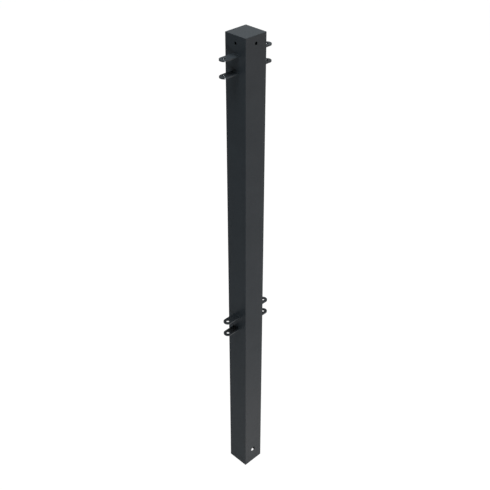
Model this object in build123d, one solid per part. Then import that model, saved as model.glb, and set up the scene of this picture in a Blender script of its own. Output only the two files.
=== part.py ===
from build123d import *
import os
from math import hypot

# Metal fence post: a square tube with an open foot and a flush cap plate, and
# four pairs of flat lugs welded to two opposite faces. Each pair holds the end
# of one fence rail. Millimetres, +Z up, origin in the middle of the foot.

# Square tube and cap plate
post_width = 70.0
post_height = 1450.0
wall = 2.0
corner_radius = 1.0
inside_corner_radius = 0.5
cap_thickness = 3.0
cap_edge_chamfer = 0.5

# Vent holes through all four walls, measured down from the top of the post
vent_hole_diameter = 8.5
vent_hole_drop = 20.0

# Hole through the front and back walls for an anchor rod in the concrete
anchor_hole_diameter = 16.0
anchor_hole_height = 50.0

# Lugs, cut from flat bar with a full round end, the hole in the round's centre
lug_reach = 50.0
lug_width = 25.0
lug_thickness = 4.0
lug_edge_chamfer = 0.4
lug_hole_diameter = 9.0
lug_hole_chamfer = 0.3

# Rails: the clear height between two lugs, and where each rail's middle lies
rail_gap = 39.0
top_rail_drop = 71.0
bottom_rail_height = 588.0

# Fillet weld over and under each lug: its leg, how far behind the root the
# centre of its rounded crown lies, its distance from the lug's edges, and the
# length and depth of the slope at its ends
weld_leg = 2.5
weld_crown_depth = 1.5
weld_end_inset = 1.0
weld_end_length = 2.0
weld_end_depth = 1.2


def post_tube():
    """Square tube, from the foot up to the underside of the cap plate."""
    inside_width = post_width - 2 * wall
    section = RectangleRounded(post_width, post_width, corner_radius)
    section -= RectangleRounded(inside_width, inside_width, inside_corner_radius)
    tube = extrude(section, post_height - cap_thickness)

    vent_drill = Cylinder(vent_hole_diameter / 2, 2 * post_width)
    vent_height = post_height - vent_hole_drop
    tube -= Pos(Z=vent_height) * Rot(X=90) * vent_drill
    tube -= Pos(Z=vent_height) * Rot(Y=90) * vent_drill

    anchor_drill = Cylinder(anchor_hole_diameter / 2, 2 * post_width)
    tube -= Pos(Z=anchor_hole_height) * Rot(X=90) * anchor_drill
    return tube


def top_cap():
    """Plate with the tube's own outline, welded on its end and ground flush."""
    outline = RectangleRounded(post_width, post_width, corner_radius)
    plate = extrude(outline, cap_thickness)
    rim = plate.faces().sort_by(Axis.Z)[-1].edges()
    return Pos(Z=post_height - cap_thickness) * chamfer(rim, cap_edge_chamfer)


def lug():
    """One lug, lying along +X with its square end at the origin."""
    end_radius = lug_width / 2
    hole_centre = lug_reach - end_radius
    outline = Pos(X=hole_centre / 2) * Rectangle(hole_centre, lug_width)
    outline += Pos(X=hole_centre) * Circle(end_radius)
    plate = extrude(outline, lug_thickness / 2, both=True)

    flat_faces = plate.faces().filter_by(Axis.Z)
    square_end = plate.faces().sort_by(Axis.X)[0]
    rim = flat_faces.edges() - square_end.edges()
    plate = chamfer(rim, lug_edge_chamfer)

    outer_edges = plate.edges()
    plate -= Pos(X=hole_centre) * Cylinder(lug_hole_diameter / 2, 2 * lug_thickness)
    mouths = (plate.edges() - outer_edges).filter_by(GeomType.CIRCLE)
    return chamfer(mouths, lug_hole_chamfer)


def weld_bead():
    """Convex fillet bead along Y, in the corner between +X and +Z at the origin."""
    crown_radius = hypot(weld_leg + weld_crown_depth, weld_crown_depth)
    bead_length = lug_width - 2 * weld_end_inset
    crown = Pos(-weld_crown_depth, 0, -weld_crown_depth) * Rot(X=90) * Cylinder(crown_radius, bead_length)
    corner = Box(
        crown_radius, bead_length, crown_radius,
        align=(Align.MIN, Align.CENTER, Align.MIN),
    )
    bead = crown & corner
    for first_or_last in (0, -1):
        end = bead.faces().sort_by(Axis.Y)[first_or_last]
        crown_edge = end.edges().filter_by(GeomType.CIRCLE)
        bead = chamfer(crown_edge, weld_end_depth, weld_end_length, reference=end)
    return bead


def lug_welds():
    """The two beads of one lug: one over it and one under it."""
    over = Pos(Z=lug_thickness / 2) * weld_bead()
    under = Rot(X=180) * over
    return Compound(children=[over, under])


def lug_places():
    """Name and placement of every lug, with its root on the tube's face."""
    sides = {"right": 0, "left": 180}
    rails = {"top_rail": post_height - top_rail_drop, "bottom_rail": bottom_rail_height}
    half_pitch = (rail_gap + lug_thickness) / 2
    levels = {"upper": half_pitch, "lower": -half_pitch}
    for side, turn in sides.items():
        for rail, rail_height in rails.items():
            for level, offset in levels.items():
                root = Pos(post_width / 2, 0, rail_height + offset)
                yield f"{side}_{rail}_{level}", Rot(Z=turn) * root


def main():
    nodes = {"post_tube": post_tube(), "top_cap": top_cap()}
    one_lug = lug()
    one_pair_of_beads = lug_welds()
    for name, place in lug_places():
        nodes[f"{name}_lug"] = place * one_lug
        nodes[f"{name}_weld"] = place * one_pair_of_beads

    os.makedirs("parts", exist_ok=True)
    for name, shape in nodes.items():
        export_step(shape, f"parts/{name}.step")


main()
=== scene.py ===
import math

import bmesh
import bpy
from mathutils import Matrix, Vector

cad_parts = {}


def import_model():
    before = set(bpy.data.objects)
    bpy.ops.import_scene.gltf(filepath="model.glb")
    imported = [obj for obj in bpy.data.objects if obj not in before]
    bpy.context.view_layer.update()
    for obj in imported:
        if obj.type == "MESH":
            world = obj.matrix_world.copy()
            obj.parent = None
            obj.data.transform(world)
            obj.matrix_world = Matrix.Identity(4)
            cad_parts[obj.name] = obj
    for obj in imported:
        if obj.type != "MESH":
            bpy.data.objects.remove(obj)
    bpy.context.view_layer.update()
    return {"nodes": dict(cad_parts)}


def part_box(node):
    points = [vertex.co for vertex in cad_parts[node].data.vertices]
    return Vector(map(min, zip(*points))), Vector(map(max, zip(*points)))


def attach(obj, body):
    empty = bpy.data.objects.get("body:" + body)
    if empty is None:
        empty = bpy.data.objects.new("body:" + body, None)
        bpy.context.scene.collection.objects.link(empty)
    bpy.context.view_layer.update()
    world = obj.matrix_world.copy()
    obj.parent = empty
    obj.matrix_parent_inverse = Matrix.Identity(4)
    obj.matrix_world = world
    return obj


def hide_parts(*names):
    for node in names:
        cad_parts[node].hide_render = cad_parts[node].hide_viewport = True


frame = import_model()

# The camera stands off the post's front left corner and looks down on it. Its place
# is in metres, its turns in degrees, its lens and sensor in millimetres.
CAMERA_PLACE = (-1.3437, -1.3531, 2.1300)
CAMERA_HEADING = 44.742
CAMERA_DIP = 34.062
CAMERA_LENS = 60.96
SENSOR_WIDTH = 36.0

# Powder coat: its linear colour, how far its tone varies, and its gloss on the faces
# and on the upright cut edges of the lugs
COAT_COLOUR = (0.0395, 0.0482, 0.0545)
COAT_LIGHTER = 1.22
COAT_DARKER = 0.78
COAT_SPECULAR = 0.04
COAT_ROUGHNESS = 0.38
COAT_ROUGHNESS_SPREAD = 0.10
EDGE_SPECULAR = 0.15
EDGE_ROUGHNESS = 0.09

# Texture of the powder coat: sizes in metres, and the grain's share in tone and height
MOTTLE_SIZE = 0.070
MOTTLE_DETAIL = 3.0
PEEL_SIZE = 0.0022
PEEL_DETAIL = 1.0
PEEL_DEPTH = 0.00007
GRAIN_SIZE = 0.0006
GRAIN_DETAIL = 2.0
GRAIN_SHARE = 0.40

# Weld beads: the sizes that go into their geometry tree, in metres
BEAD_SIZES = {
    "Bead length": 0.023,
    "Leg": 0.0025,
    "Crown depth": 0.0015,
    "End length": 0.0030,
    "Ripple pitch": 0.0012,
    "Ripple height": 0.00022,
    "Unevenness": 0.0004,
}

# How far the ripples curve and drift, in ripple pitches, and the beads' noise and mesh
RIPPLE_CURVE = 0.9
RIPPLE_DRIFT = 1.6
DRIFT_DETAIL = 1.0
UNEVENNESS_DETAIL = 2.0
BEAD_NOISE_SIZE = 0.006
ROWS_ALONG_BEAD = 150
ROWS_ROUND_BEAD = 16
MERGE_DISTANCE = 0.00002

# Studio: the floor's colour under the lamps and as the camera and the gloss see it, the
# white that those see on the floor and round the post, and the even light on the post
FLOOR_SIZE = 40.0
FLOOR_COLOUR = 0.42
FLOOR_COLOUR_SEEN = 0.063
FLOOR_GLOW = 0.99
WORLD_GLOW = 0.95
WORLD_LIGHT = 0.05

# Softboxes: place and aim in metres, width and height in metres, power in watts, colour.
# The two strips make the glints on the round ends of the upper left lugs.
COOL = (0.94, 0.99, 1.05)
NEUTRAL = (1.0, 1.0, 1.0)
WARM = (1.0, 0.73, 0.61)
SOFTBOXES = {
    "ceiling": ((0.0, 0.0, 7.0), (0.0, 0.0, 0.9), (2.0, 2.0), 65.0, NEUTRAL),
    "ceiling_right": ((1.2, -0.3, 6.8), (0.0, 0.0, 0.9), (1.6, 1.6), 182.0, NEUTRAL),
    "upper_left": ((-1.1, -0.2, 3.35), (0.0, 0.0, 1.45), (1.0, 1.0), 15.0, COOL),
    "right_front": ((1.2, -2.6, 1.25), (0.0, 0.0, 0.8), (1.6, 1.6), 36.2, WARM),
    "upper_strip": ((-1.08, -2.25, 0.437), (0.0, 0.0, 0.9), (0.6, 0.06), 11.0, COOL),
    "lower_strip": ((-1.08, -2.25, 0.337), (0.0, 0.0, 0.9), (0.6, 0.06), 11.0, COOL),
    "foot": ((-0.1, -0.42, 0.12), (0.0, 0.0, 0.14), (0.25, 0.25), 0.75, WARM),
    "back_fill": ((1.9, 2.4, 0.72), (0.0, 0.0, 0.72), (1.2, 1.2), 14.0, NEUTRAL),
}

LUGS = [name.removesuffix("_lug") for name in sorted(frame["nodes"]) if name.endswith("_lug")]


def link_to_scene(thing):
    bpy.context.scene.collection.objects.link(thing)
    return thing


class NodeTree:
    """A node tree, with a short call for what it repeats."""

    def __init__(self, tree):
        self.tree = tree

    def node(self, kind, inputs=None, **settings):
        made = self.tree.nodes.new(kind)
        for name, value in settings.items():
            setattr(made, name, value)
        for name, value in (inputs or {}).items():
            self.feed(made.inputs[name], value)
        return made

    def feed(self, socket, value):
        if isinstance(value, bpy.types.NodeSocket):
            self.tree.links.new(value, socket)
        else:
            socket.default_value = value

    def math(self, operation, *values, clamp=False):
        inputs = dict(enumerate(values))
        return self.node("ShaderNodeMath", inputs, operation=operation, use_clamp=clamp).outputs[0]

    def between(self, share, at_none, at_full):
        inputs = {"Value": share, "To Min": at_none, "To Max": at_full}
        return self.node("ShaderNodeMapRange", inputs).outputs[0]

    def blend(self, share, first_colour, second_colour):
        # A Mix node's colour sockets share their names with others, so they go by number
        inputs = {0: share, 6: first_colour, 7: second_colour}
        return self.node("ShaderNodeMix", inputs, data_type="RGBA").outputs[2]

    def noise(self, place, size, detail, seed):
        inputs = {"Vector": place, "W": seed, "Scale": 1 / size, "Detail": detail}
        return self.node("ShaderNodeTexNoise", inputs, noise_dimensions="4D").outputs[0]


# Weld beads, grown by a geometry tree

def weld_bead_tree():
    """A rippled fillet bead along Y, in the corner between +X and +Z at the origin."""
    group = bpy.data.node_groups.new("weld_bead", "GeometryNodeTree")
    for name, size in BEAD_SIZES.items():
        socket = group.interface.new_socket(name, in_out="INPUT", socket_type="NodeSocketFloat")
        socket.default_value = size
    group.interface.new_socket("Seed", in_out="INPUT", socket_type="NodeSocketInt")
    group.interface.new_socket("Material", in_out="INPUT", socket_type="NodeSocketMaterial")
    group.interface.new_socket("Geometry", in_out="OUTPUT", socket_type="NodeSocketGeometry")

    t = NodeTree(group)
    given = t.node("NodeGroupInput").outputs
    grid = t.node("GeometryNodeMeshGrid", {
        "Size X": given["Bead length"], "Size Y": 1.0,
        "Vertices X": ROWS_ALONG_BEAD, "Vertices Y": ROWS_ROUND_BEAD,
    })
    position = t.node("GeometryNodeInputPosition").outputs[0]
    place = t.node("ShaderNodeSeparateXYZ", {"Vector": position}).outputs
    along = place["X"]

    # Rows run from the bead's buried core to one toe, over the crown and back to the core
    last_row = ROWS_ROUND_BEAD - 1.0
    row = t.math("MULTIPLY", t.math("ADD", place["Y"], 0.5), last_row)
    over_crown = t.math("DIVIDE", t.math("SUBTRACT", row, 1.0), last_row - 2.0, clamp=True)
    outward = t.math("MINIMUM", row, t.math("SUBTRACT", last_row, row), clamp=True)
    crown_share = t.math("SINE", t.math("MULTIPLY", over_crown, math.pi))

    # The crown is an arc round the core, from toe to toe
    core_depth = given["Crown depth"]
    reach = t.math("ADD", given["Leg"], core_depth)
    reach_squared = t.math("MULTIPLY", reach, reach)
    depth_squared = t.math("MULTIPLY", core_depth, core_depth)
    crown = t.math("SQRT", t.math("ADD", reach_squared, depth_squared))
    first_angle = t.math("ARCTAN2", core_depth, reach)
    sweep = t.math("SUBTRACT", math.pi / 2, t.math("MULTIPLY", first_angle, 2.0))
    angle = t.math("ADD", first_angle, t.math("MULTIPLY", over_crown, sweep))

    # Ripples are crescents, unevenly spaced, that sink into the crown and end at the toes
    over_leg = t.math("MULTIPLY", over_crown, given["Leg"])
    on_bead = t.node("ShaderNodeCombineXYZ", {"X": along, "Y": over_leg}).outputs[0]
    drift = t.noise(on_bead, BEAD_NOISE_SIZE, DRIFT_DETAIL, given["Seed"])
    from_middle = t.math("SUBTRACT", t.math("MULTIPLY", over_crown, 2.0), 1.0)
    curve = t.math("MULTIPLY", from_middle, from_middle)
    pitches = t.math("DIVIDE", along, given["Ripple pitch"])
    phase = t.math("ADD", pitches, t.math("MULTIPLY", drift, RIPPLE_DRIFT))
    phase = t.math("ADD", phase, t.math("MULTIPLY", curve, RIPPLE_CURVE))
    wave = t.math("ABSOLUTE", t.math("SINE", t.math("MULTIPLY", phase, math.pi)))
    groove = t.math("MULTIPLY", t.math("SUBTRACT", 1.0, wave), given["Ripple height"])
    lump = t.noise(on_bead, BEAD_NOISE_SIZE, UNEVENNESS_DETAIL, given["Seed"])
    hollow = t.math("ADD", groove, t.math("MULTIPLY", lump, given["Unevenness"]))
    sink = t.math("MULTIPLY", hollow, crown_share)
    radius = t.math("MULTIPLY", outward, t.math("SUBTRACT", crown, sink))

    # The ends close towards the root in a quarter ellipse
    half_length = t.math("DIVIDE", given["Bead length"], 2.0)
    straight = t.math("SUBTRACT", half_length, given["End length"])
    past = t.math("SUBTRACT", t.math("ABSOLUTE", along), straight)
    into_end = t.math("DIVIDE", past, given["End length"], clamp=True)
    end_squared = t.math("MULTIPLY", into_end, into_end)
    taper = t.math("SQRT", t.math("SUBTRACT", 1.0, end_squared, clamp=True))

    def in_section(direction):
        from_core = t.math("MULTIPLY", radius, t.math(direction, angle))
        return t.math("MULTIPLY", t.math("SUBTRACT", from_core, core_depth), taper)

    target = t.node("ShaderNodeCombineXYZ", {
        "X": in_section("COSINE"), "Y": along, "Z": in_section("SINE"),
    })
    shaped = t.node("GeometryNodeSetPosition", {
        "Geometry": grid.outputs["Mesh"], "Position": target.outputs[0],
    })
    closed = t.node("GeometryNodeMergeByDistance", {
        "Geometry": shaped.outputs[0], "Distance": MERGE_DISTANCE,
    })
    smooth = t.node("GeometryNodeSetShadeSmooth", {"Geometry": closed.outputs[0]})
    real = t.node("GeometryNodeRealizeInstances", {"Geometry": smooth.outputs[0]})
    painted = t.node("GeometryNodeSetMaterial", {
        "Geometry": real.outputs[0], "Material": given["Material"],
    })
    t.node("NodeGroupOutput", {"Geometry": painted.outputs[0]})
    return group


def grow(tree, inputs):
    """The plain mesh that a geometry tree makes with these inputs."""
    carrier = link_to_scene(bpy.data.objects.new("carrier", bpy.data.meshes.new("carrier")))
    modifier = carrier.modifiers.new("growth", "NODES")
    modifier.node_group = tree
    for socket in tree.interface.items_tree:
        if socket.in_out == "INPUT" and socket.name in inputs:
            modifier[socket.identifier] = inputs[socket.name]
    grown = carrier.evaluated_get(bpy.context.evaluated_depsgraph_get())
    mesh = bpy.data.meshes.new_from_object(grown)
    carrier.modifiers.remove(modifier)
    bpy.data.objects.remove(carrier)
    return mesh


def joined(name, placed_meshes, material):
    """One piece from several meshes, each moved by its own matrix, with its faces outwards."""
    work = bmesh.new()
    for mesh, place in placed_meshes:
        mesh.transform(place)
        work.from_mesh(mesh)
    bmesh.ops.recalc_face_normals(work, faces=work.faces)
    whole = bpy.data.meshes.new(name)
    work.to_mesh(whole)
    work.free()
    whole.materials.clear()
    whole.materials.append(material)
    return link_to_scene(bpy.data.objects.new(name, whole))


def lug_beads(tree, lug, number, material):
    """The rippled beads over and under one lug, in place of its plain welds."""
    weld_low, weld_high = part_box(f"{lug}_weld")
    lug_low, lug_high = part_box(f"{lug}_lug")
    on_left = lug_high.x < 0
    inputs = {
        "Bead length": weld_high.y - weld_low.y,
        "Leg": weld_high.x - weld_low.x,
        "Material": material,
    }
    root = Vector((lug_high.x if on_left else lug_low.x, 0.0, (lug_low.z + lug_high.z) / 2))
    at_root = Matrix.Translation(root) @ Matrix.Rotation(math.pi if on_left else 0.0, 4, "Z")
    over = Matrix.Translation((0.0, 0.0, (lug_high.z - lug_low.z) / 2))
    under = Matrix.Rotation(math.pi, 4, "X") @ over
    beads = [
        (grow(tree, inputs | {"Seed": 2 * number + turn}), at_root @ place)
        for turn, place in enumerate((over, under))
    ]
    piece = joined(f"{lug}_bead", beads, material)
    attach(piece, "root")
    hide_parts(f"{lug}_weld")


# Powder coat

def coat_tone(share):
    return [channel * share for channel in COAT_COLOUR] + [1.0]


def powder_coat(name, seed, edge_specular=COAT_SPECULAR, edge_roughness=COAT_ROUGHNESS):
    """Satin powder coat with mottling, orange peel and grain, and a gloss for upright edges."""
    material = bpy.data.materials.new(name)
    material.use_nodes = True
    t = NodeTree(material.node_tree)
    surface = material.node_tree.nodes["Principled BSDF"].inputs

    place = t.node("ShaderNodeTexCoord").outputs["Object"]
    mottle = t.noise(place, MOTTLE_SIZE, MOTTLE_DETAIL, seed)
    peel = t.noise(place, PEEL_SIZE, PEEL_DETAIL, seed)
    grain = t.noise(place, GRAIN_SIZE, GRAIN_DETAIL, seed)

    def with_grain(pattern):
        fine = t.math("MULTIPLY", grain, GRAIN_SHARE)
        return t.math("ADD", t.math("MULTIPLY", pattern, 1 - GRAIN_SHARE), fine)

    tone = with_grain(mottle)
    colour = t.blend(tone, coat_tone(COAT_DARKER), coat_tone(COAT_LIGHTER))
    t.feed(surface["Base Color"], colour)

    # From an upright edge's gloss to that of a level face
    normal = t.node("ShaderNodeNewGeometry").outputs["Normal"]
    upward = t.node("ShaderNodeSeparateXYZ", {"Vector": normal}).outputs["Z"]
    level = t.math("ABSOLUTE", upward)
    spread = t.math("MULTIPLY", t.math("SUBTRACT", tone, 0.5), COAT_ROUGHNESS_SPREAD)
    roughness = t.between(level, edge_roughness, COAT_ROUGHNESS)
    t.feed(surface["Specular IOR Level"], t.between(level, edge_specular, COAT_SPECULAR))
    t.feed(surface["Roughness"], t.math("ADD", spread, roughness))

    relief = {"Strength": 1.0, "Distance": PEEL_DEPTH, "Height": with_grain(peel)}
    t.feed(surface["Normal"], t.node("ShaderNodeBump", relief).outputs[0])
    return material


def paint(node_names, material):
    for name in node_names:
        for slot in frame["nodes"][name].material_slots:
            slot.material = material


# Studio

def seen_by_camera(t):
    """1 for what the camera sees straight on, in a gloss or through a clear thing."""
    path = t.node("ShaderNodeLightPath").outputs
    seen = t.math("MAXIMUM", path["Is Camera Ray"], path["Is Glossy Ray"])
    return t.math("MAXIMUM", seen, path["Is Transmission Ray"])


def floor():
    mesh = bpy.data.meshes.new("studio_floor")
    half = FLOOR_SIZE / 2
    corners = [(x * half, y * half, 0.0) for x, y in ((-1, -1), (1, -1), (1, 1), (-1, 1))]
    mesh.from_pydata(corners, [], [(0, 1, 2, 3)])
    material = bpy.data.materials.new("studio_floor")
    material.use_nodes = True
    material.node_tree.nodes.clear()
    t = NodeTree(material.node_tree)
    seen = seen_by_camera(t)
    tone = t.between(seen, FLOOR_COLOUR, FLOOR_COLOUR_SEEN)
    paper = t.node("ShaderNodeBsdfDiffuse", {"Color": tone})
    glow = t.node("ShaderNodeEmission", {"Strength": t.math("MULTIPLY", seen, FLOOR_GLOW)})
    both = t.node("ShaderNodeAddShader", {0: paper.outputs[0], 1: glow.outputs[0]})
    t.node("ShaderNodeOutputMaterial", {"Surface": both.outputs[0]})
    mesh.materials.append(material)
    link_to_scene(bpy.data.objects.new("studio_floor", mesh))


def softbox(name, place, aim, size, power, colour):
    lamp = bpy.data.lights.new(name, "AREA")
    lamp.shape = "RECTANGLE"
    lamp.size, lamp.size_y = size
    lamp.energy = power
    lamp.color = colour
    box = link_to_scene(bpy.data.objects.new(name, lamp))
    box.location = place
    box.rotation_euler = (Vector(aim) - Vector(place)).to_track_quat("-Z", "Y").to_euler()


def world():
    surroundings = bpy.data.worlds.new("studio")
    surroundings.use_nodes = True
    bpy.context.scene.world = surroundings
    t = NodeTree(surroundings.node_tree)
    background = surroundings.node_tree.nodes["Background"].inputs
    background["Color"].default_value = (1.0, 1.0, 1.0, 1.0)
    glow = t.math("MULTIPLY", seen_by_camera(t), WORLD_GLOW)
    t.feed(background["Strength"], t.math("ADD", glow, WORLD_LIGHT))


def camera():
    data = bpy.data.cameras.new("camera")
    data.lens = CAMERA_LENS
    data.sensor_width = SENSOR_WIDTH
    eye = link_to_scene(bpy.data.objects.new("camera", data))
    eye.location = CAMERA_PLACE
    eye.rotation_euler = (math.radians(90 - CAMERA_DIP), 0.0, math.radians(-CAMERA_HEADING))
    bpy.context.scene.camera = eye


paint(["post_tube"], powder_coat("post_coat", seed=1.0))
paint(["top_cap"], powder_coat("cap_coat", seed=1.0))
lug_coat = powder_coat("lug_coat", 2.0, EDGE_SPECULAR, EDGE_ROUGHNESS)
paint([f"{lug}_lug" for lug in LUGS], lug_coat)
bead_coat = powder_coat("weld_coat", seed=3.0)
bead_tree = weld_bead_tree()
for number, lug in enumerate(LUGS):
    lug_beads(bead_tree, lug, number, bead_coat)

floor()
world()
for name, settings in SOFTBOXES.items():
    softbox(f"{name}_softbox", *settings)
camera()
bpy.context.scene.view_settings.view_transform = "Standard"
